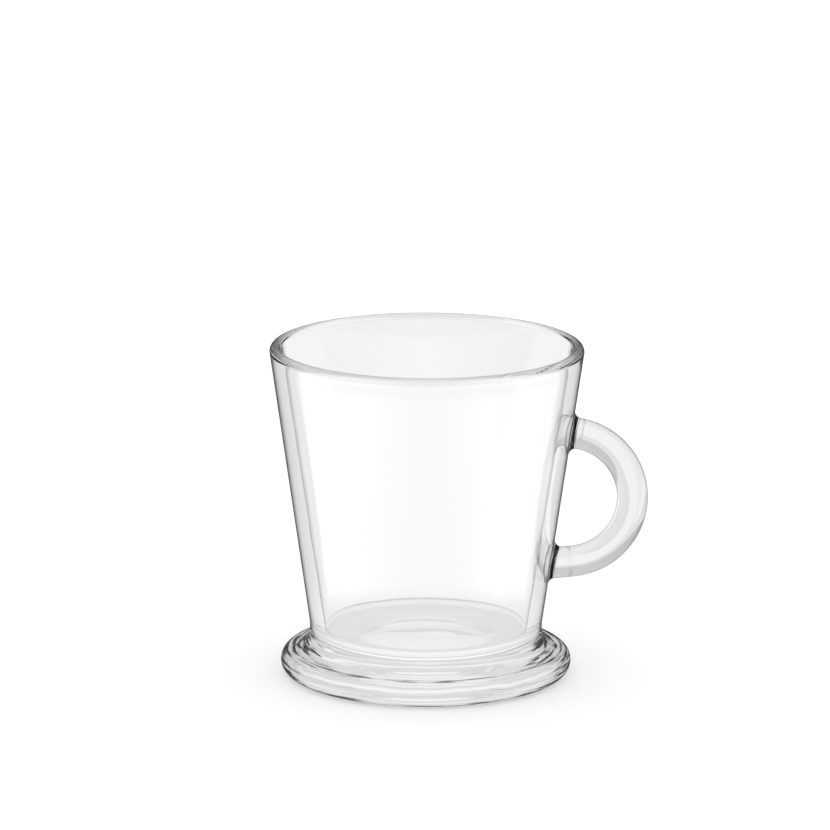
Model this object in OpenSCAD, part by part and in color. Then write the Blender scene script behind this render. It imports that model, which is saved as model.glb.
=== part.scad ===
// Clear cappuccino glass: a flared bowl bedded on a heavy round foot, with a
// round loop handle that is joined to the wall through two flared pads.
// The origin is on the bowl's axis at the table, +Z is up and the handle is on +X.

/* [Bowl] */
// Outside diameter across the rim
rim_d = 86; // [78:0.5:96]
// Overall height from the table to the top of the lip
height = 92; // [82:0.5:104]
// Thickness of the fully rounded lip
lip_t = 3.3; // [2.8:0.1:4.4]
// Outside diameter of the neck at the bottom of the cone
waist_d = 64; // [58:0.5:67]
// Height of the straight neck between the foot and the cone
neck_h = 2.6; // [1:0.1:5]
// Wall thickness beside the floor, measured level
base_wall_t = 4; // [3.2:0.1:5.5]
// Thickness of the bowl's own floor
floor_t = 3.8; // [3:0.1:6]
// Inside radius between the wall and the floor
floor_fillet_r = 2.5; // [1.5:0.5:8]

/* [Bed between bowl and foot] */
// Depth that the bowl's bevelled bottom sinks into the foot
bed_depth = 2.4; // [1:0.1:3.4]
// Width of the bevel round the bowl's bottom
bed_bevel_w = 3.6; // [2:0.1:6]

/* [Foot] */
// Outside diameter of the foot
foot_d = 80; // [76:0.5:86]
// Thickness of the foot's fully rounded edge
foot_edge_t = 6.8; // [5:0.1:8]
// Diameter of the shallow hollow under the foot
hollow_d = 39; // [30:1:56]
// Depth of the hollow at its middle
hollow_depth = 1.8; // [0.6:0.1:3]

/* [Handle] */
// Diameter of the round rod
rod_d = 8.5; // [7:0.1:10]
// Radius of the loop along the middle of the rod
loop_r = 18.25; // [15:0.25:21]
// Height of the loop's centre above the table
loop_z = 49.3; // [44:0.1:56]
// Distance from the outside of the wall to the loop's centre
loop_gap = 1.25; // [0:0.25:6]

/* [Handle pads] */
// Length of the upper pad from the wall to the loop, along its middle
upper_pad_l = 2.8; // [2.2:0.1:6]
// Length of the lower pad from the wall to the loop, along its middle
lower_pad_l = 5.6; // [3:0.1:8]
// Radius of the flare that spreads each pad onto the wall
pad_flare_r = 2; // [0.8:0.1:2.2]

/* [Hidden] */
$fn = 96;
clear_glass = [0.93, 0.95, 0.95, 0.4];
// Spare length where a cutting shape runs past what it cuts
overrun = 3;
// How far a round runs past a straight face, so that the two cross instead of just touching
crossing = 0.003;

rim_r = rim_d / 2;
lip_r = lip_t / 2;
waist_r = waist_d / 2;
rod_r = rod_d / 2;
foot_edge_r = foot_edge_t / 2;

// The cove leaves the top of the foot's round edge level and ends upright at the neck.
foot_edge_centre_r = foot_d / 2 - foot_edge_r;
cove_r = foot_edge_centre_r - waist_r;
seat_z = foot_edge_t + cove_r;
waist_z = seat_z + neck_h;

// The bowl's bottom
bed_r = waist_r - bed_bevel_w;
bowl_bottom_z = seat_z - bed_depth;
floor_z = bowl_bottom_z + floor_t;

// Both faces of the wall run into the round of the lip. Points are [radius, height].
lip_centre = [rim_r - lip_r, height - lip_r];
outer_start = [waist_r, waist_z];
inner_start = [waist_r - base_wall_t, floor_z];
lip_reach = lip_r - crossing;
outer_lean = direction(outer_start, lip_centre) - asin(lip_reach / norm(lip_centre - outer_start));
inner_lean = direction(inner_start, lip_centre) + asin(lip_reach / norm(lip_centre - inner_start));
outer_end = lip_centre + lip_reach * [sin(outer_lean), -cos(outer_lean)];
inner_end = lip_centre + lip_reach * [-sin(inner_lean), cos(inner_lean)];
wall_slope = (outer_end.x - outer_start.x) / (outer_end.y - outer_start.y);

// The inside fillet runs into the floor and the inner face of the wall.
fillet_reach = (floor_fillet_r - crossing) * tan(inner_lean / 2);
fillet_centre = [inner_start.x - fillet_reach, floor_z + floor_fillet_r - crossing];
fillet_start = [fillet_centre.x, floor_z];
fillet_end = inner_start + fillet_reach * [cos(inner_lean), sin(inner_lean)];

// The hollow under the foot is part of a ball.
hollow_r = hollow_d / 2;
hollow_ball_r = (hollow_r * hollow_r + hollow_depth * hollow_depth) / (2 * hollow_depth);

// The loop lies in the XZ plane and turns until a straight pad of the stated length reaches the wall.
// Points are [x, z].
wall_lean = 90 - outer_lean;
loop_x = wall_r(loop_z) + loop_gap;
upper_turn = turn_to_pad(upper_pad_l) - wall_lean;
lower_turn = turn_to_pad(lower_pad_l) + wall_lean;
upper_end = [loop_x + loop_r * cos(upper_turn), loop_z + loop_r * sin(upper_turn)];
lower_end = [loop_x + loop_r * cos(lower_turn), loop_z - loop_r * sin(lower_turn)];
upper_way = [-sin(upper_turn), cos(upper_turn)];
lower_way = [-sin(lower_turn), -cos(lower_turn)];

function direction(from, to) = atan2(to.y - from.y, to.x - from.x);

// Outer radius of the conical wall at a height
function wall_r(z) = waist_r + wall_slope * (z - waist_z);

// Turn of the loop from square to the wall until a pad of this length touches the wall, in degrees
function turn_to_pad(pad_l) =
    atan2(loop_r, pad_l) + asin(loop_gap * cos(wall_lean) / norm([loop_r, pad_l]));

// Bowl: conical wall with a round lip, a filleted floor and a bevelled bottom
module bowl() {
    color(clear_glass)
    rotate_extrude()
    difference() {
        union() {
            polygon([
                [0, bowl_bottom_z],
                [bed_r, bowl_bottom_z],
                [waist_r, seat_z],
                outer_start,
                outer_end,
                inner_end,
                [0, inner_end.y]
            ]);
            translate(lip_centre) circle(lip_r);
        }
        polygon([
            [0, floor_z],
            fillet_start,
            fillet_centre,
            fillet_end,
            inner_end,
            inner_end + overrun * [-1, 1],
            [0, inner_end.y + overrun]
        ]);
        translate(fillet_centre) circle(floor_fillet_r);
    }
}

// Foot: heavy disc with a round edge, a cove up to the neck, a bed for the bowl and a hollow underside
module foot() {
    color(clear_glass)
    rotate_extrude()
    difference() {
        union() {
            difference() {
                square([foot_edge_centre_r, seat_z]);
                translate([foot_edge_centre_r, seat_z]) circle(cove_r);
            }
            intersection() {
                translate([foot_edge_centre_r, foot_edge_r]) circle(foot_edge_r);
                square([foot_d, foot_edge_t]);
            }
        }
        polygon([
            [0, bowl_bottom_z],
            [bed_r, bowl_bottom_z],
            [waist_r, seat_z],
            [waist_r, seat_z + overrun],
            [0, seat_z + overrun]
        ]);
        intersection() {
            translate([0, hollow_depth - hollow_ball_r]) circle(hollow_ball_r);
            translate([0, -overrun]) square([foot_d, foot_edge_t]);
        }
    }
}

// Handle: round rod bent into a loop
module handle() {
    color(clear_glass)
    translate([loop_x, 0, loop_z])
    rotate([90, 0, 0])
    rotate([0, 0, -lower_turn])
    rotate_extrude(angle = upper_turn + lower_turn)
    translate([loop_r, 0]) circle(rod_r);
}

// Pad: a straight collar as thick as the rod that flares out and is cut to the cone of the wall
module handle_pad(loop_end, way, pad_l) {
    difference() {
        translate([loop_end.x, 0, loop_end.y])
        rotate([0, atan2(way.x, way.y), 0])
        rotate_extrude()
        union() {
            square([rod_r, pad_l]);
            translate([0, pad_l - pad_flare_r])
            difference() {
                square([rod_r + pad_flare_r, pad_flare_r + overrun]);
                translate([rod_r + pad_flare_r, 0]) circle(pad_flare_r);
            }
        }
        translate([0, 0, waist_z])
        cylinder(h = outer_end.y - waist_z, r1 = waist_r, r2 = outer_end.x);
    }
}

// Upper handle pad: joins the loop's upper end to the wall
module upper_handle_pad() {
    color(clear_glass) handle_pad(upper_end, upper_way, upper_pad_l);
}

// Lower handle pad: joins the loop's lower end to the wall
module lower_handle_pad() {
    color(clear_glass) handle_pad(lower_end, lower_way, lower_pad_l);
}

bowl();
foot();
handle();
upper_handle_pad();
lower_handle_pad();
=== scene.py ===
"""Looks of a clear cappuccino glass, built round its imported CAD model.

The glass is five closed pieces that touch where the hot glass was joined. Each joint carries a see-through
material on both sides, so that light passes from piece to piece as it does in one body of glass.
Lengths are in metres, and outlines are lists of (radius, height) points round the bowl's axis.
"""
import math

import bmesh
import bpy
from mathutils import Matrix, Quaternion, Vector
from mathutils.geometry import delaunay_2d_cdt


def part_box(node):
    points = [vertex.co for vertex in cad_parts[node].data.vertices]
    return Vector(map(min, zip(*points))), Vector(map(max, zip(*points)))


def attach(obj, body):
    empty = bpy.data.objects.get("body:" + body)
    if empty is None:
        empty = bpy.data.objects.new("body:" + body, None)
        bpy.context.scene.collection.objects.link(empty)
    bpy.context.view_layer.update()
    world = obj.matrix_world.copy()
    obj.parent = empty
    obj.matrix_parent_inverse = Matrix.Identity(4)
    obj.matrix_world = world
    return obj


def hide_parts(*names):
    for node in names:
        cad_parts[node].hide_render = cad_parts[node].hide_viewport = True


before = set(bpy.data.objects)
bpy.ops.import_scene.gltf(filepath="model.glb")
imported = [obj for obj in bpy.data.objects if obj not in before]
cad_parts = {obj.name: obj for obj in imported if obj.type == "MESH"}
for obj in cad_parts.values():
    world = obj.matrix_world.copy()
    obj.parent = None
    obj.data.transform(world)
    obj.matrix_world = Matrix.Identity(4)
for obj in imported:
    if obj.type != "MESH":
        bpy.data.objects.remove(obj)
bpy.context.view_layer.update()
MM = 0.001

# Sizes that the frame gives
RIM_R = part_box("bowl")[1].x
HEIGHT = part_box("bowl")[1].z
BOWL_BOTTOM_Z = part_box("bowl")[0].z
FOOT_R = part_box("foot")[1].x
SEAT_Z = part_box("foot")[1].z
ROD_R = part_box("handle")[1].y

# Sizes of the bowl and the foot
LIP_R = 1.65 * MM
WAIST_R = 32 * MM
NECK_H = 2.6 * MM
BASE_WALL_T = 4 * MM
FLOOR_T = 3.8 * MM
FLOOR_FILLET_R = 2.5 * MM
BED_BEVEL_W = 3.6 * MM
FOOT_EDGE_R = 3.4 * MM
HOLLOW_R = 19.5 * MM
HOLLOW_DEPTH = 1.8 * MM
HOLLOW_BLEND_R = 30 * MM
NECK_BLEND_R = 0.3 * MM

# Sizes of the handle and its pads
LOOP_R = 18.25 * MM
LOOP_Z = 49.3 * MM
UPPER_PAD_L = 2.8 * MM
LOWER_PAD_L = 5.6 * MM
PAD_FLARE_R = 2 * MM

# How finely the pieces are cut
SEGMENTS_ROUND = 384
WALL_STEP = 1.5 * MM
LIP_STEPS = 48
FILLET_STEPS = 24
NECK_BLEND_STEPS = 6
COVE_STEPS = 64
FOOT_EDGE_STEPS = 96
HOLLOW_BLEND_STEPS = 12
HOLLOW_STEPS = 24
ROD_SIDES = 128
ROD_STEPS = 240
PAD_STEPS = 3
FLARE_STEPS = 12
# Points nearer than this become one
WELD = 0.001 * MM

# Places that follow from the sizes
WAIST_Z = SEAT_Z + NECK_H
FLOOR_Z = BOWL_BOTTOM_Z + FLOOR_T
BED_R = WAIST_R - BED_BEVEL_W
LIP_CENTRE = Vector((RIM_R - LIP_R, HEIGHT - LIP_R))
EDGE_CENTRE_R = FOOT_R - FOOT_EDGE_R
COVE_R = EDGE_CENTRE_R - WAIST_R
LOOP_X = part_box("handle")[1].x - ROD_R - LOOP_R


def lean_to_lip(start, side):
    """Angle of a straight wall face from a start point to where it touches the round of the lip."""
    reach = LIP_CENTRE - start
    return math.atan2(reach.y, reach.x) + side * math.asin(LIP_R / reach.length)


OUTER_START = Vector((WAIST_R, WAIST_Z))
INNER_START = Vector((WAIST_R - BASE_WALL_T, FLOOR_Z))
OUTER_LEAN = lean_to_lip(OUTER_START, -1)
INNER_LEAN = lean_to_lip(INNER_START, 1)
WALL_LEAN = math.pi / 2 - OUTER_LEAN
WALL_SLOPE = math.tan(WALL_LEAN)


def wall_radius(height):
    """Outer radius of the conical wall at a height."""
    return WAIST_R + WALL_SLOPE * (height - WAIST_Z)


def turn_to_pad(length):
    """Turn of the loop, from square to the wall, at which a pad of this length touches the wall."""
    gap = (LOOP_X - wall_radius(LOOP_Z)) * math.cos(WALL_LEAN)
    return math.atan2(LOOP_R, length) + math.asin(gap / math.hypot(LOOP_R, length))


UPPER_TURN = turn_to_pad(UPPER_PAD_L) - WALL_LEAN
LOWER_TURN = turn_to_pad(LOWER_PAD_L) + WALL_LEAN


# Node helpers

def add(tree, kind, **settings):
    """Adds a node to a tree and sets its properties."""
    made = tree.nodes.new(kind)
    for name, value in settings.items():
        setattr(made, name, value)
    return made


def feed(tree, socket, value):
    """Gives an input socket a link or a plain value."""
    if isinstance(value, bpy.types.NodeSocket):
        tree.links.new(value, socket)
    else:
        socket.default_value = value


def calc(tree, operation, *values):
    """Adds a Math node and returns its result."""
    made = add(tree, "ShaderNodeMath", operation=operation)
    for socket, value in zip(made.inputs, values):
        feed(tree, socket, value)
    return made.outputs[0]


def geometry_tree(name, inputs):
    """Starts a geometry tree with named inputs. Returns the tree and its group input node."""
    tree = bpy.data.node_groups.new(name, "GeometryNodeTree")
    for label, kind in inputs:
        tree.interface.new_socket(label, in_out="INPUT", socket_type=kind)
    tree.interface.new_socket("Piece", in_out="OUTPUT", socket_type="NodeSocketGeometry")
    return tree, add(tree, "NodeGroupInput")


def end_tree(tree, mesh_socket, material_socket):
    """Ends a geometry tree: smooth faces, realised instances and the material."""
    smooth = add(tree, "GeometryNodeSetShadeSmooth")
    realize = add(tree, "GeometryNodeRealizeInstances")
    paint = add(tree, "GeometryNodeSetMaterial")
    out = add(tree, "NodeGroupOutput")
    feed(tree, smooth.inputs["Geometry"], mesh_socket)
    feed(tree, realize.inputs["Geometry"], smooth.outputs["Geometry"])
    feed(tree, paint.inputs["Geometry"], realize.outputs["Geometry"])
    feed(tree, paint.inputs["Material"], material_socket)
    feed(tree, out.inputs["Piece"], paint.outputs["Geometry"])


def run_tree(name, start_mesh, tree, values):
    """Runs a geometry tree on a mesh and returns the result as a plain mesh."""
    carrier = bpy.data.objects.new(name + "_carrier", start_mesh)
    bpy.context.scene.collection.objects.link(carrier)
    modifier = carrier.modifiers.new(tree.name, "NODES")
    modifier.node_group = tree
    for socket in tree.interface.items_tree:
        if socket.in_out == "INPUT" and socket.name in values:
            modifier[socket.identifier] = values[socket.name]
    carrier.update_tag()
    graph = bpy.context.evaluated_depsgraph_get()
    mesh = bpy.data.meshes.new_from_object(carrier.evaluated_get(graph))
    bpy.data.objects.remove(carrier)
    mesh.name = name
    return mesh


# Materials

# Faint waves in the surface: how close they lie, and how high they are
WAVE_SCALE = 80
WALL_WAVE = 0.03 * MM
FOOT_WAVE = 0.3 * MM
# Streaks in the foot's painted edge shade: how many to a metre of its outline, how many to a radian round,
# and how strong
STREAKS_PER_M = 1000
STREAKS_PER_RADIAN = 3
FOOT_STREAKS = 2.4


def streaked(tree, value, streaks):
    """Makes a value uneven, in streaks that run round the bowl's axis.

    The bearing is taken without its sign, so that the streaks have no seam.
    """
    if not streaks:
        return value
    place = add(tree, "ShaderNodeTexCoord")
    parts = add(tree, "ShaderNodeSeparateXYZ")
    feed(tree, parts.inputs["Vector"], place.outputs["Object"])
    x, y = parts.outputs["X"], parts.outputs["Y"]
    square = calc(tree, "ADD", calc(tree, "MULTIPLY", x, x), calc(tree, "MULTIPLY", y, y))
    radius = calc(tree, "SQRT", square)
    bearing = calc(tree, "ABSOLUTE", calc(tree, "ARCTAN2", y, x))
    spot = add(tree, "ShaderNodeCombineXYZ")
    feed(tree, spot.inputs["X"], calc(tree, "MULTIPLY", radius, STREAKS_PER_M))
    feed(tree, spot.inputs["Y"], calc(tree, "MULTIPLY", parts.outputs["Z"], STREAKS_PER_M))
    feed(tree, spot.inputs["Z"], calc(tree, "MULTIPLY", bearing, STREAKS_PER_RADIAN))
    noise = add(tree, "ShaderNodeTexNoise")
    feed(tree, noise.inputs["Vector"], spot.outputs["Vector"])
    feed(tree, noise.inputs["Scale"], 1)
    uneven = calc(tree, "SUBTRACT", noise.outputs["Fac"], 0.5)
    return calc(tree, "MULTIPLY", value, calc(tree, "MULTIPLY_ADD", uneven, streaks, 1))


def clear_glass(name, clear=1, shade_start=0.72, shade_stop=0.9, dark=0.03, wave=WALL_WAVE, streaks=0):
    """Fire-polished clear glass with the faint waves that pressing leaves.

    Its base colour paints shade: clear where it is seen face on, and dark where the view skims it. It
    passes from one to the other between two parts of a full skim, which paints the thin dark edges. Streaks
    make that shade uneven.
    """
    material = bpy.data.materials.new(name)
    material.use_nodes = True
    tree = material.node_tree
    shader = tree.nodes["Principled BSDF"]
    shader.inputs["Roughness"].default_value = 0
    shader.inputs["IOR"].default_value = 1.5
    shader.inputs["Transmission Weight"].default_value = 1
    skim = add(tree, "ShaderNodeLayerWeight")
    feed(tree, skim.inputs["Blend"], 0.5)
    # Painted shade of the thin dark edges, carried in the base colour where the view skims the glass
    edge_shade = add(tree, "ShaderNodeMapRange", interpolation_type="SMOOTHSTEP")
    feed(tree, edge_shade.inputs["Value"], streaked(tree, skim.outputs["Facing"], streaks))
    feed(tree, edge_shade.inputs["From Min"], shade_start)
    feed(tree, edge_shade.inputs["From Max"], shade_stop)
    feed(tree, edge_shade.inputs["To Min"], clear)
    feed(tree, edge_shade.inputs["To Max"], dark)
    feed(tree, shader.inputs["Base Color"], edge_shade.outputs["Result"])
    place = add(tree, "ShaderNodeTexCoord")
    waves = add(tree, "ShaderNodeTexNoise")
    bump = add(tree, "ShaderNodeBump")
    feed(tree, waves.inputs["Vector"], place.outputs["Object"])
    feed(tree, waves.inputs["Scale"], WAVE_SCALE)
    feed(tree, waves.inputs["Detail"], 1)
    feed(tree, bump.inputs["Height"], waves.outputs["Fac"])
    feed(tree, bump.inputs["Distance"], wave)
    feed(tree, shader.inputs["Normal"], bump.outputs["Normal"])
    return material


def fused_joint():
    """The inside of a joint: nothing shows where two pieces of glass have melted together."""
    material = bpy.data.materials.new("fused_joint")
    material.use_nodes = True
    tree = material.node_tree
    tree.nodes.clear()
    shader = add(tree, "ShaderNodeBsdfTransparent")
    out = add(tree, "ShaderNodeOutputMaterial")
    feed(tree, out.inputs["Surface"], shader.outputs["BSDF"])
    return material


GLASS = clear_glass("clear_glass")
# Painted shade: the rod's glass is darker face on than the bowl's
ROD_GLASS = clear_glass("rod_glass", clear=0.86)
# Painted shade: the flare's glass is nearly black, drawing the pads' dark band
FLARE_GLASS = clear_glass("flare_glass", clear=0.3, shade_start=0.05, shade_stop=0.2, dark=0.002)
# Painted shade: the foot's glass darkens over a wider skim, in streaks
FOOT_GLASS = clear_glass(
    "foot_glass", shade_start=0.53, shade_stop=0.78, dark=0.01, wave=FOOT_WAVE, streaks=FOOT_STREAKS
)
# Painted shade: the lip's glass is darker face on
LIP_GLASS = clear_glass("lip_glass", clear=0.8)
FUSED = fused_joint()
# Places in a piece's list of materials. The last holds painted shade: the lip's darker glass on the bowl
# and the flare's near-black glass on a pad.
GLASS_SLOT, FUSED_SLOT, EDGE_SLOT = 0, 1, 2
# Rows of a pad's faces, counted from the loop, that carry its painted dark band
FLARE_ROWS = range(6, 11)
# How far below the middle of the lip's round the lip's own glass, darkened as painted shade, starts
LIP_DROP = 0.3 * MM


# Outlines

def arc(centre, radius, start, stop, steps):
    """Points along an arc between two angles in radians."""
    turns = [start + (stop - start) * step / steps for step in range(steps + 1)]
    return [Vector((centre[0] + radius * math.cos(t), centre[1] + radius * math.sin(t))) for t in turns]


def straight(start, stop, step):
    """Points along a straight line, both ends included, about a step apart."""
    count = max(1, round((stop - start).length / step))
    return [start.lerp(stop, n / count) for n in range(count + 1)]


def without_repeats(points):
    """Drops points that fall on the one before."""
    kept = points[:1]
    for point in points[1:]:
        if (point - kept[-1]).length > 1e-7:
            kept.append(point)
    return kept


def bowl_outline():
    """From the middle of the bowl's bottom, up the outside, over the lip and down to the floor's middle."""
    outer_way = Vector((math.cos(OUTER_LEAN), math.sin(OUTER_LEAN)))
    blend = NECK_BLEND_R * math.tan(WALL_LEAN / 2)
    blend_centre = (WAIST_R + NECK_BLEND_R, WAIST_Z - blend)
    lip = arc(LIP_CENTRE, LIP_R, OUTER_LEAN - math.pi / 2, INNER_LEAN + math.pi / 2, LIP_STEPS)
    reach = FLOOR_FILLET_R * math.tan(INNER_LEAN / 2)
    fillet_centre = (INNER_START.x - reach, FLOOR_Z + FLOOR_FILLET_R)
    fillet = arc(fillet_centre, FLOOR_FILLET_R, INNER_LEAN - math.pi / 2, -math.pi / 2, FILLET_STEPS)
    return without_repeats([
        Vector((0, BOWL_BOTTOM_Z)),
        Vector((BED_R, BOWL_BOTTOM_Z)),
        Vector((WAIST_R, SEAT_Z)),
        *arc(blend_centre, NECK_BLEND_R, math.pi, math.pi - WALL_LEAN, NECK_BLEND_STEPS),
        *straight(OUTER_START + blend * outer_way, lip[0], WALL_STEP),
        *lip,
        *straight(lip[-1], fillet[0], 2 * WALL_STEP),
        *fillet,
        *straight(fillet[-1], Vector((0, FLOOR_Z)), 4 * WALL_STEP),
    ])


def foot_outline():
    """From the middle of the bowl's bed, down the cove, round the edge and under to the hollow's middle."""
    ball_r = (HOLLOW_R ** 2 + HOLLOW_DEPTH ** 2) / (2 * HOLLOW_DEPTH)
    ball_centre = (0, HOLLOW_DEPTH - ball_r)
    blend_reach = math.sqrt(HOLLOW_DEPTH * (2 * (HOLLOW_BLEND_R + ball_r) - HOLLOW_DEPTH))
    blend_turn = math.asin(blend_reach / (HOLLOW_BLEND_R + ball_r))
    blend_centre = (blend_reach, HOLLOW_BLEND_R)
    return without_repeats([
        Vector((0, BOWL_BOTTOM_Z)),
        Vector((BED_R, BOWL_BOTTOM_Z)),
        *arc((EDGE_CENTRE_R, SEAT_Z), COVE_R, math.pi, 1.5 * math.pi, COVE_STEPS),
        *arc((EDGE_CENTRE_R, FOOT_EDGE_R), FOOT_EDGE_R, math.pi / 2, -math.pi / 2, FOOT_EDGE_STEPS),
        *arc(blend_centre, HOLLOW_BLEND_R, -math.pi / 2, -math.pi / 2 - blend_turn, HOLLOW_BLEND_STEPS),
        *arc(ball_centre, ball_r, math.pi / 2 - blend_turn, math.pi / 2, HOLLOW_STEPS),
    ])


# Trees

def turning_tree():
    """Turns an outline round the Z axis into a closed skin."""
    tree, given = geometry_tree("turned_glass", [
        ("Outline", "NodeSocketGeometry"),
        ("Segments", "NodeSocketInt"),
        ("Glass", "NodeSocketMaterial"),
    ])
    count = add(tree, "GeometryNodeAttributeDomainSize")
    grid = add(tree, "GeometryNodeMeshGrid")
    place = add(tree, "GeometryNodeInputPosition")
    on_grid = add(tree, "ShaderNodeSeparateXYZ")
    on_outline = add(tree, "GeometryNodeSampleIndex", data_type="FLOAT_VECTOR")
    outline_part = add(tree, "ShaderNodeSeparateXYZ")
    turned = add(tree, "ShaderNodeCombineXYZ")
    move = add(tree, "GeometryNodeSetPosition")
    close = add(tree, "GeometryNodeMergeByDistance")
    outline = given.outputs["Outline"]
    feed(tree, count.inputs["Geometry"], outline)
    points = count.outputs["Point Count"]
    feed(tree, grid.inputs["Size X"], 1)
    feed(tree, grid.inputs["Size Y"], 1)
    feed(tree, grid.inputs["Vertices X"], calc(tree, "ADD", given.outputs["Segments"], 1))
    feed(tree, grid.inputs["Vertices Y"], points)
    feed(tree, on_grid.inputs["Vector"], place.outputs["Position"])
    angle = calc(tree, "MULTIPLY", calc(tree, "ADD", on_grid.outputs["X"], 0.5), math.tau)
    last = calc(tree, "SUBTRACT", points, 1)
    along = calc(tree, "MULTIPLY", calc(tree, "ADD", on_grid.outputs["Y"], 0.5), last)
    feed(tree, on_outline.inputs["Geometry"], outline)
    feed(tree, on_outline.inputs["Value"], place.outputs["Position"])
    feed(tree, on_outline.inputs["Index"], calc(tree, "ROUND", along))
    feed(tree, outline_part.inputs["Vector"], on_outline.outputs["Value"])
    radius = outline_part.outputs["X"]
    feed(tree, turned.inputs["X"], calc(tree, "MULTIPLY", radius, calc(tree, "COSINE", angle)))
    feed(tree, turned.inputs["Y"], calc(tree, "MULTIPLY", radius, calc(tree, "SINE", angle)))
    feed(tree, turned.inputs["Z"], outline_part.outputs["Z"])
    feed(tree, move.inputs["Geometry"], grid.outputs["Mesh"])
    feed(tree, move.inputs["Position"], turned.outputs["Vector"])
    feed(tree, close.inputs["Geometry"], move.outputs["Geometry"])
    feed(tree, close.inputs["Distance"], WELD)
    end_tree(tree, close.outputs["Geometry"], given.outputs["Glass"])
    return tree


def bent_rod_tree():
    """Sweeps a round rod along part of a circle that stands in the XZ plane."""
    tree, given = geometry_tree("bent_rod", [
        ("Start", "NodeSocketGeometry"),
        ("Loop Radius", "NodeSocketFloat"),
        ("Rod Radius", "NodeSocketFloat"),
        ("First Angle", "NodeSocketFloat"),
        ("Sweep", "NodeSocketFloat"),
        ("Centre", "NodeSocketVector"),
        ("Steps", "NodeSocketInt"),
        ("Sides", "NodeSocketInt"),
        ("Glass", "NodeSocketMaterial"),
    ])
    path = add(tree, "GeometryNodeCurveArc")
    ring = add(tree, "GeometryNodeCurvePrimitiveCircle")
    sweep = add(tree, "GeometryNodeCurveToMesh")
    stand = add(tree, "GeometryNodeTransform")
    feed(tree, path.inputs["Resolution"], given.outputs["Steps"])
    feed(tree, path.inputs["Radius"], given.outputs["Loop Radius"])
    feed(tree, path.inputs["Start Angle"], given.outputs["First Angle"])
    feed(tree, path.inputs["Sweep Angle"], given.outputs["Sweep"])
    feed(tree, ring.inputs["Resolution"], given.outputs["Sides"])
    feed(tree, ring.inputs["Radius"], given.outputs["Rod Radius"])
    feed(tree, sweep.inputs["Curve"], path.outputs["Curve"])
    feed(tree, sweep.inputs["Profile Curve"], ring.outputs["Curve"])
    feed(tree, sweep.inputs["Fill Caps"], True)
    feed(tree, stand.inputs["Geometry"], sweep.outputs["Mesh"])
    feed(tree, stand.inputs["Rotation"], (math.pi / 2, 0, 0))
    feed(tree, stand.inputs["Translation"], given.outputs["Centre"])
    end_tree(tree, stand.outputs["Geometry"], given.outputs["Glass"])
    return tree


# Pieces

def outline_mesh(points):
    """An outline as a string of edges in the XZ plane."""
    mesh = bpy.data.meshes.new("outline")
    edges = [(n, n + 1) for n in range(len(points) - 1)]
    mesh.from_pydata([(p.x, 0, p.y) for p in points], edges, [])
    return mesh


def face_outwards(mesh):
    """Turns every face of a closed skin outwards."""
    work = bmesh.new()
    work.from_mesh(mesh)
    bmesh.ops.recalc_face_normals(work, faces=work.faces)
    work.to_mesh(mesh)
    work.free()


def fuse_faces(mesh, glass, is_joint):
    """Gives the joint's faces the see-through material, and leaves them flat so they bend no normal."""
    mesh.materials.clear()
    mesh.materials.append(glass)
    mesh.materials.append(FUSED)
    for face in mesh.polygons:
        joint = is_joint(face)
        face.material_index = FUSED_SLOT if joint else GLASS_SLOT
        face.use_smooth = not joint


def turned_mesh(name, outline, tree):
    """A turned piece with its faces outwards."""
    values = {"Segments": SEGMENTS_ROUND, "Glass": GLASS}
    mesh = run_tree(name, outline_mesh(outline), tree, values)
    face_outwards(mesh)
    return mesh


def loop_mesh(tree):
    """The loop of the handle, with its two flat ends as joints."""
    values = {
        "Loop Radius": LOOP_R,
        "Rod Radius": ROD_R,
        "First Angle": -LOWER_TURN,
        "Sweep": LOWER_TURN + UPPER_TURN,
        "Centre": (LOOP_X, 0, LOOP_Z),
        "Steps": ROD_STEPS,
        "Sides": ROD_SIDES,
        "Glass": GLASS,
    }
    mesh = run_tree("handle", bpy.data.meshes.new("start"), tree, values)
    face_outwards(mesh)
    fuse_faces(mesh, ROD_GLASS, lambda face: len(face.vertices) > 4)
    return mesh


def end_rings(mesh):
    """The rings of points round the loop's two ends, upper one first."""
    ends = [face for face in mesh.polygons if len(face.vertices) > 4]
    ends.sort(key=lambda face: -face.center.z)
    return [[mesh.vertices[v].co.copy() for v in face.vertices] for face in ends]


def onto_wall(point):
    """The point of the wall's outside at the same height and bearing."""
    scale = wall_radius(point.z) / math.hypot(point.x, point.y)
    return Vector((point.x * scale, point.y * scale, point.z))


LONGEST_RUN = 20 * MM
HALVINGS = 50


def run_to_wall(start, way):
    """Distance from a point outside the wall to the wall along a direction, found by halving."""
    near, far = 0, LONGEST_RUN
    for _ in range(HALVINGS):
        middle = (near + far) / 2
        point = start + way * middle
        if math.hypot(point.x, point.y) > wall_radius(point.z):
            near = middle
        else:
            far = middle
    return near


def flare_line(start, middle, way):
    """Points from a ring point of the loop's end along the pad and out onto the wall."""
    corner = start + way * run_to_wall(start, way)
    bearing = math.atan2(corner.y, corner.x)
    normal = Vector((
        math.cos(bearing) * math.cos(WALL_LEAN),
        math.sin(bearing) * math.cos(WALL_LEAN),
        -math.sin(WALL_LEAN),
    ))
    out = (start - middle).normalized()
    spread = (out - normal * out.dot(normal)).normalized()
    half = spread.angle(-way) / 2
    touch = PAD_FLARE_R / math.tan(half)
    centre = corner + (spread - way).normalized() * (PAD_FLARE_R / math.sin(half))
    first = corner - way * touch - centre
    last = onto_wall(corner + spread * touch) - centre
    line = [start.lerp(centre + first, n / PAD_STEPS) for n in range(PAD_STEPS)]
    for n in range(FLARE_STEPS + 1):
        part = n / FLARE_STEPS
        length = first.length + (last.length - first.length) * part
        line.append(centre + first.slerp(last, part) * length)
    line[-1] = onto_wall(line[-1])
    return line


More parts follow.
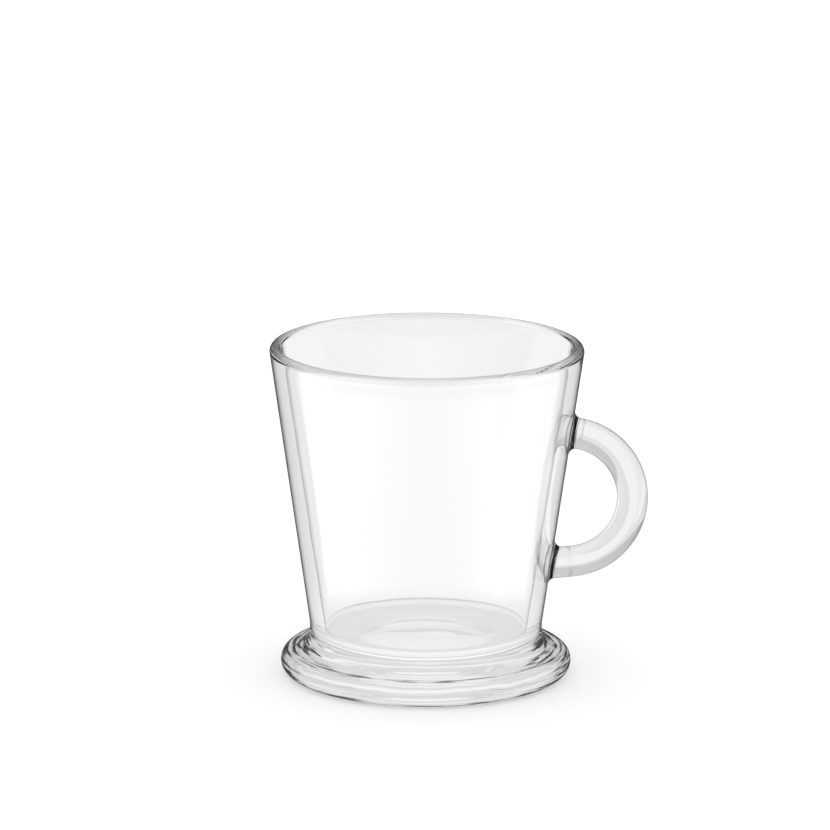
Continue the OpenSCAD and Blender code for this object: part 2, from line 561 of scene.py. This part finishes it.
def pad_lines(ring):
    """The lines of a pad from the loop's end to the wall, one for each ring point."""
    middle = sum(ring, Vector()) / len(ring)
    across = (ring[0] - middle).cross(ring[len(ring) // 4] - middle).normalized()
    way = across if across.x < 0 else -across
    return [flare_line(point, middle, way) for point in ring]


def inside(point, polygon):
    """True where a flat point is inside a closed polygon."""
    hit = False
    for a, b in zip(polygon, polygon[1:] + polygon[:1]):
        if (a.y > point.y) != (b.y > point.y):
            if point.x < a.x + (b.x - a.x) * (point.y - a.y) / (b.y - a.y):
                hit = not hit
    return hit


def flat_place(point):
    """A place on the wall as (distance round, height) in millimetres."""
    return Vector((math.atan2(point.y, point.x) * WAIST_R, point.z)) / MM


# The part of the wall that is cut anew round the pads
WINDOW_HALF_WIDTH = 9.5 * MM
WINDOW_MARGIN = 3 * MM
# Old points of the wall that lie nearer than this to a pad's outline are left out
OUTLINE_CLEARANCE = 0.7 * MM


def seat_pads(mesh, rings):
    """Cuts the pads' outlines into the bowl's wall. Returns the triangles of wall under each pad."""
    half_width = WINDOW_HALF_WIDTH / WAIST_R
    low = min(p.z for ring in rings for p in ring) - WINDOW_MARGIN
    high = max(p.z for ring in rings for p in ring) + WINDOW_MARGIN
    work = bmesh.new()
    work.from_mesh(mesh)
    window = []
    for face in work.faces:
        c = face.calc_center_median()
        outside = math.hypot(c.x, c.y) > wall_radius(c.z) - LIP_R / 2
        if outside and abs(math.atan2(c.y, c.x)) < half_width and low < c.z < high:
            window.append(face)
    gone = set(window)
    points, kept_verts = [], {}
    for vert in {v for face in window for v in face.verts}:
        border = any(face not in gone for face in vert.link_faces)
        if border:
            kept_verts[len(points)] = vert
        elif min((vert.co - p).length for ring in rings for p in ring) < OUTLINE_CLEARANCE:
            continue
        points.append(vert.co.copy())
    number = {vert: n for n, vert in kept_verts.items()}
    edges = []
    for edge in {e for face in window for e in face.edges}:
        if sum(face in gone for face in edge.link_faces) == 1:
            edges.append((number[edge.verts[0]], number[edge.verts[1]]))
    for ring in rings:
        first = len(points)
        edges += [(first + n, first + (n + 1) % len(ring)) for n in range(len(ring))]
        points += ring
    flat = [flat_place(p) for p in points]
    result = delaunay_2d_cdt(flat, edges, [], 0, 1e-4, True)
    triangles, origin = result[2], result[3]
    border_numbers = set(kept_verts)
    bmesh.ops.delete(work, geom=window, context="FACES")
    verts = dict(kept_verts)
    outlines = [[flat_place(p) for p in ring] for ring in rings]
    under = [[] for _ in rings]
    for triangle in triangles:
        corners = [origin[v][0] for v in triangle]
        spots = [flat[n] for n in corners]
        area = (spots[1] - spots[0]).cross(spots[2] - spots[0])
        if set(corners) <= border_numbers and abs(area) < 1e-3:
            continue
        for n in corners:
            if n not in verts:
                verts[n] = work.verts.new(onto_wall(points[n]))
        face = work.faces.new([verts[n] for n in corners])
        centre = sum(spots, Vector((0, 0))) / 3
        for pad, outline in zip(under, outlines):
            if inside(centre, outline):
                face.material_index = FUSED_SLOT
                pad.append([onto_wall(points[n]) for n in corners])
    bmesh.ops.recalc_face_normals(work, faces=work.faces)
    work.to_mesh(mesh)
    work.free()
    for face in mesh.polygons:
        face.use_smooth = face.material_index != FUSED_SLOT
    return under


def pad_mesh(name, lines, under):
    """A closed pad: its flared side, its flat end on the loop and its curved end on the wall."""
    work = bmesh.new()
    rows = [[work.verts.new(line[n]) for line in lines] for n in range(len(lines[0]))]
    for number, (row, above) in enumerate(zip(rows, rows[1:])):
        for n in range(len(row)):
            m = (n + 1) % len(row)
            side = work.faces.new((row[n], row[m], above[m], above[n]))
            side.material_index = EDGE_SLOT if number in FLARE_ROWS else GLASS_SLOT
    work.faces.new(rows[0]).material_index = FUSED_SLOT
    for triangle in under:
        face = work.faces.new([work.verts.new(p) for p in triangle])
        face.material_index = FUSED_SLOT
    bmesh.ops.remove_doubles(work, verts=work.verts, dist=WELD)
    bmesh.ops.recalc_face_normals(work, faces=work.faces)
    mesh = bpy.data.meshes.new(name)
    work.to_mesh(mesh)
    work.free()
    for material in (ROD_GLASS, FUSED, FLARE_GLASS):
        mesh.materials.append(material)
    for face in mesh.polygons:
        face.use_smooth = face.material_index != FUSED_SLOT
    return mesh


def piece(name, mesh):
    """Puts a finished mesh in the scene in place of the CAD node of that name."""
    made = bpy.data.objects.new(name + "_glass", mesh)
    bpy.context.scene.collection.objects.link(made)
    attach(made, "root")
    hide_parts(name)


# Slack in telling the bed's faces from the others
BED_SLACK = 0.05 * MM


def on_bed(face):
    """True for a face of the bed between the bowl and the foot."""
    c = face.center
    return math.hypot(c.x, c.y) < WAIST_R - BED_SLACK and BOWL_BOTTOM_Z - BED_SLACK < c.z < SEAT_Z


def mark_lip(mesh):
    """Gives the round of the lip its own glass, darker face on as painted shade."""
    mesh.materials.append(LIP_GLASS)
    for face in mesh.polygons:
        if face.center.z > LIP_CENTRE.y - LIP_DROP:
            face.material_index = EDGE_SLOT


def build_glass():
    """Makes the five pieces."""
    turning = turning_tree()
    bowl = turned_mesh("bowl", bowl_outline(), turning)
    foot = turned_mesh("foot", foot_outline(), turning)
    handle = loop_mesh(bent_rod_tree())
    fuse_faces(bowl, GLASS, on_bed)
    fuse_faces(foot, FOOT_GLASS, on_bed)
    mark_lip(bowl)
    pads = [pad_lines(ring) for ring in end_rings(handle)]
    under = seat_pads(bowl, [[line[-1] for line in pad] for pad in pads])
    piece("bowl", bowl)
    piece("foot", foot)
    piece("handle", handle)
    piece("upper_handle_pad", pad_mesh("upper_handle_pad", pads[0], under[0]))
    piece("lower_handle_pad", pad_mesh("lower_handle_pad", pads[1], under[1]))


# Studio

CAMERA_RISE = math.radians(14.2)
CAMERA_DISTANCE = 1.58
CAMERA_TARGET = Vector((0, 0, 45 * MM))
CAMERA_ROLL = math.radians(0.19)
PHOTO_SIDE = 830
PHOTO_SCALE = 3638
TARGET_PIXEL = Vector((426.7, 511.6))


def place_camera():
    """Sets the camera where the photograph was taken from."""
    data = bpy.data.cameras.new("camera")
    camera = bpy.data.objects.new("camera", data)
    bpy.context.scene.collection.objects.link(camera)
    bpy.context.scene.camera = camera
    data.sensor_width = 36
    data.lens = data.sensor_width * PHOTO_SCALE * CAMERA_DISTANCE / PHOTO_SIDE
    data.clip_start = 0.1
    data.clip_end = 100
    back = Vector((0, -math.cos(CAMERA_RISE), math.sin(CAMERA_RISE)))
    up = Vector((0, math.sin(CAMERA_RISE), math.cos(CAMERA_RISE)))
    middle = Vector((PHOTO_SIDE / 2, PHOTO_SIDE / 2))
    shift = (TARGET_PIXEL - middle) / PHOTO_SCALE
    aim = CAMERA_TARGET + Vector((-shift.x, 0, 0)) + up * shift.y
    camera.location = CAMERA_TARGET + back * CAMERA_DISTANCE
    turn = (aim - camera.location).to_track_quat("-Z", "Y")
    camera.rotation_mode = "QUATERNION"
    camera.rotation_quaternion = turn @ Quaternion((0, 0, 1), CAMERA_ROLL)


# Brightness of what the glass shows, by bearing in degrees: 0 is towards the camera, negative to the left.
# Bearings on the table are taken from the waist's sides, which keeps a step in one place down the wall.
TABLE_FAR = [
    (-180, 1.08), (-166.6, 1.08), (-166.2, 0.87), (-112, 0.9), (-110, 1.5), (-90, 1.5),
    (-71, 1.2), (-53, 1), (-37, 0.9), (0, 0.9), (37, 0.95), (53, 1),
    (80, 1.2), (121, 1.2), (126, 0.9), (164, 0.9), (165, 1.08), (180, 1.08),
]
ROOM_LOW = [
    (-180, 0.72), (-150, 0.64), (-120, 0.28), (-90, 0.32), (-45, 0.7), (0, 1),
    (45, 0.8), (90, 0.6), (120, 0.56), (150, 0.64), (180, 0.72),
]
ROOM_HIGH = [
    (-180, 0.72), (-150, 0.72), (-120, 0.64), (-60, 0.7), (0, 1),
    (60, 0.75), (120, 0.68), (150, 0.72), (180, 0.72),
]
# Brightness of the table round the foot and far out, and of the ceiling
TABLE_NEAR = 0.96
TABLE_EDGE = 0.92
CEILING = 0.96
# Parts of the brightness: on the table's middle line, under the standing ring as a painted shadow, in an
# outside reflection
TABLE_MIDDLE = 0.92
RING_SHADE = 0.85
REFLECTED = 0.1
# Where one passes into the next: heights in the room, and distances from the bowl's axis on the table
LOW_TO_HIGH = (math.radians(6), math.radians(28))
HIGH_TO_CEILING = (math.radians(32), math.radians(65))
NEAR_TO_FAR = (1.5 * FOOT_R, 2.5 * FOOT_R)
FAR_TO_EDGE = (7.8 * FOOT_R, 9 * FOOT_R)
ONTO_RING = (0.8 * HOLLOW_R, HOLLOW_R)
OFF_RING = (0.9 * FOOT_R, 1.1 * FOOT_R)
# Light that the camera's floor has even in full shade, and the part that it throws back
FLOOR_LIGHT = 0.25
FLOOR_PALE = 0.9
# Half the floor's side, and how far it lies below the foot
FLOOR_HALF = 4
FLOOR_DROP = 0.2 * MM
# The colour ramps hold brightness divided by this, which keeps their colours under 1
GLOW_SCALE = 4


def glow_by_bearing(tree, across, along, stops):
    """Brightness by bearing round the glass, from stops of (degrees, brightness)."""
    bearing = calc(tree, "ARCTAN2", across, calc(tree, "MULTIPLY", along, -1))
    turn = calc(tree, "ADD", calc(tree, "DIVIDE", bearing, math.tau), 0.5)
    ramp = add(tree, "ShaderNodeValToRGB")
    ramp.color_ramp.interpolation = "EASE"
    elements = ramp.color_ramp.elements
    while len(elements) < len(stops):
        elements.new(0.5)
    for element, (degrees, glow) in zip(elements, stops):
        element.position = degrees / 360 + 0.5
        level = glow / GLOW_SCALE
        element.color = (level, level, level, 1)
    feed(tree, ramp.inputs["Fac"], turn)
    return calc(tree, "MULTIPLY", ramp.outputs["Color"], GLOW_SCALE)


def fade(tree, value, start, stop, first, second):
    """Passes smoothly from a first brightness to a second as a value goes from start to stop."""
    step = add(tree, "ShaderNodeMapRange", interpolation_type="SMOOTHSTEP")
    feed(tree, step.inputs["Value"], value)
    feed(tree, step.inputs["From Min"], start)
    feed(tree, step.inputs["From Max"], stop)
    mix = add(tree, "ShaderNodeMix", data_type="FLOAT")
    feed(tree, mix.inputs["Factor"], step.outputs["Result"])
    feed(tree, mix.inputs["A"], first)
    feed(tree, mix.inputs["B"], second)
    return mix.outputs["Result"]


def camera_white(tree, glow):
    """White for the camera and for the light that falls on the floor.

    The glass shows the given brightness, and a small part of it as an outside reflection.
    """
    path = add(tree, "ShaderNodeLightPath")
    mirrored = calc(tree, "MULTIPLY", glow, REFLECTED)
    glow = fade(tree, path.outputs["Is Reflection Ray"], 0, 1, glow, mirrored)
    glow = fade(tree, path.outputs["Is Diffuse Ray"], 0, 1, glow, 1)
    return fade(tree, path.outputs["Is Camera Ray"], 0, 1, glow, 1)


def studio_world():
    """White background for the camera.

    The glass shows a pale room that is darkest low on the left, under a bright ceiling.
    """
    world = bpy.data.worlds.new("studio")
    bpy.context.scene.world = world
    world.use_nodes = True
    tree = world.node_tree
    tree.nodes.clear()
    out = add(tree, "ShaderNodeOutputWorld")
    light = add(tree, "ShaderNodeBackground")
    place = add(tree, "ShaderNodeTexCoord")
    parts = add(tree, "ShaderNodeSeparateXYZ")
    feed(tree, parts.inputs["Vector"], place.outputs["Generated"])
    rise = calc(tree, "ARCSINE", parts.outputs["Z"])
    low = glow_by_bearing(tree, parts.outputs["X"], parts.outputs["Y"], ROOM_LOW)
    high = glow_by_bearing(tree, parts.outputs["X"], parts.outputs["Y"], ROOM_HIGH)
    room = fade(tree, rise, *LOW_TO_HIGH, low, high)
    room = fade(tree, rise, *HIGH_TO_CEILING, room, CEILING)
    feed(tree, light.inputs["Color"], (1, 1, 1, 1))
    feed(tree, light.inputs["Strength"], camera_white(tree, room))
    feed(tree, out.inputs["Surface"], light.outputs["Background"])


def white_table():
    """White table that keeps a faint shade for the camera.

    The glass shows it by bearing: white behind, grey from there to the sides, brightest at the sides, and a
    painted shadow under the standing ring.
    """
    material = bpy.data.materials.new("white_floor")
    material.use_nodes = True
    tree = material.node_tree
    tree.nodes.clear()
    out = add(tree, "ShaderNodeOutputMaterial")
    light = add(tree, "ShaderNodeEmission")
    base = add(tree, "ShaderNodeEmission")
    shaded = add(tree, "ShaderNodeBsdfDiffuse")
    seen = add(tree, "ShaderNodeAddShader")
    pick = add(tree, "ShaderNodeMixShader")
    path = add(tree, "ShaderNodeLightPath")
    place = add(tree, "ShaderNodeTexCoord")
    parts = add(tree, "ShaderNodeSeparateXYZ")
    length = add(tree, "ShaderNodeVectorMath", operation="LENGTH")
    feed(tree, parts.inputs["Vector"], place.outputs["Object"])
    feed(tree, length.inputs["Vector"], place.outputs["Object"])
    distance = length.outputs["Value"]
    past_side = calc(tree, "SUBTRACT", calc(tree, "ABSOLUTE", parts.outputs["X"]), WAIST_R)
    side = calc(tree, "SIGN", parts.outputs["X"])
    across = calc(tree, "MULTIPLY", calc(tree, "MAXIMUM", past_side, 0), side)
    far = glow_by_bearing(tree, across, parts.outputs["Y"], TABLE_FAR)
    middle = fade(tree, calc(tree, "ABSOLUTE", parts.outputs["X"]), 0, WAIST_R, TABLE_MIDDLE, 1)
    far = calc(tree, "MULTIPLY", far, middle)
    glow = fade(tree, distance, *NEAR_TO_FAR, TABLE_NEAR, far)
    glow = fade(tree, distance, *FAR_TO_EDGE, glow, TABLE_EDGE)
    # Painted shadow of the standing ring on the table
    ring = fade(tree, distance, *ONTO_RING, 1, RING_SHADE)
    ring = fade(tree, distance, *OFF_RING, ring, 1)
    glow = calc(tree, "MULTIPLY", glow, ring)
    feed(tree, light.inputs["Strength"], camera_white(tree, glow))
    feed(tree, shaded.inputs["Color"], (FLOOR_PALE, FLOOR_PALE, FLOOR_PALE, 1))
    feed(tree, base.inputs["Strength"], FLOOR_LIGHT)
    feed(tree, seen.inputs[0], base.outputs["Emission"])
    feed(tree, seen.inputs[1], shaded.outputs["BSDF"])
    feed(tree, pick.inputs["Fac"], path.outputs["Is Camera Ray"])
    feed(tree, pick.inputs[1], light.outputs["Emission"])
    feed(tree, pick.inputs[2], seen.outputs["Shader"])
    feed(tree, out.inputs["Surface"], pick.outputs["Shader"])
    return material


def studio_floor():
    """Wide floor that the glass stands on."""
    work = bmesh.new()
    bmesh.ops.create_grid(work, x_segments=1, y_segments=1, size=FLOOR_HALF)
    mesh = bpy.data.meshes.new("floor")
    work.to_mesh(mesh)
    work.free()
    floor = bpy.data.objects.new("floor", mesh)
    floor.location.z = -FLOOR_DROP
    bpy.context.scene.collection.objects.link(floor)
    mesh.materials.append(white_table())


build_glass()
place_camera()
studio_world()
studio_floor()
scene = bpy.context.scene
scene.view_settings.view_transform = "Standard"
# Light turns many times inside the lip and the foot before it leaves
scene.cycles.max_bounces = 80
scene.cycles.transmission_bounces = 80
scene.cycles.glossy_bounces = 80
scene.cycles.transparent_max_bounces = 96
scene.cycles.denoising_input_passes = "RGB"
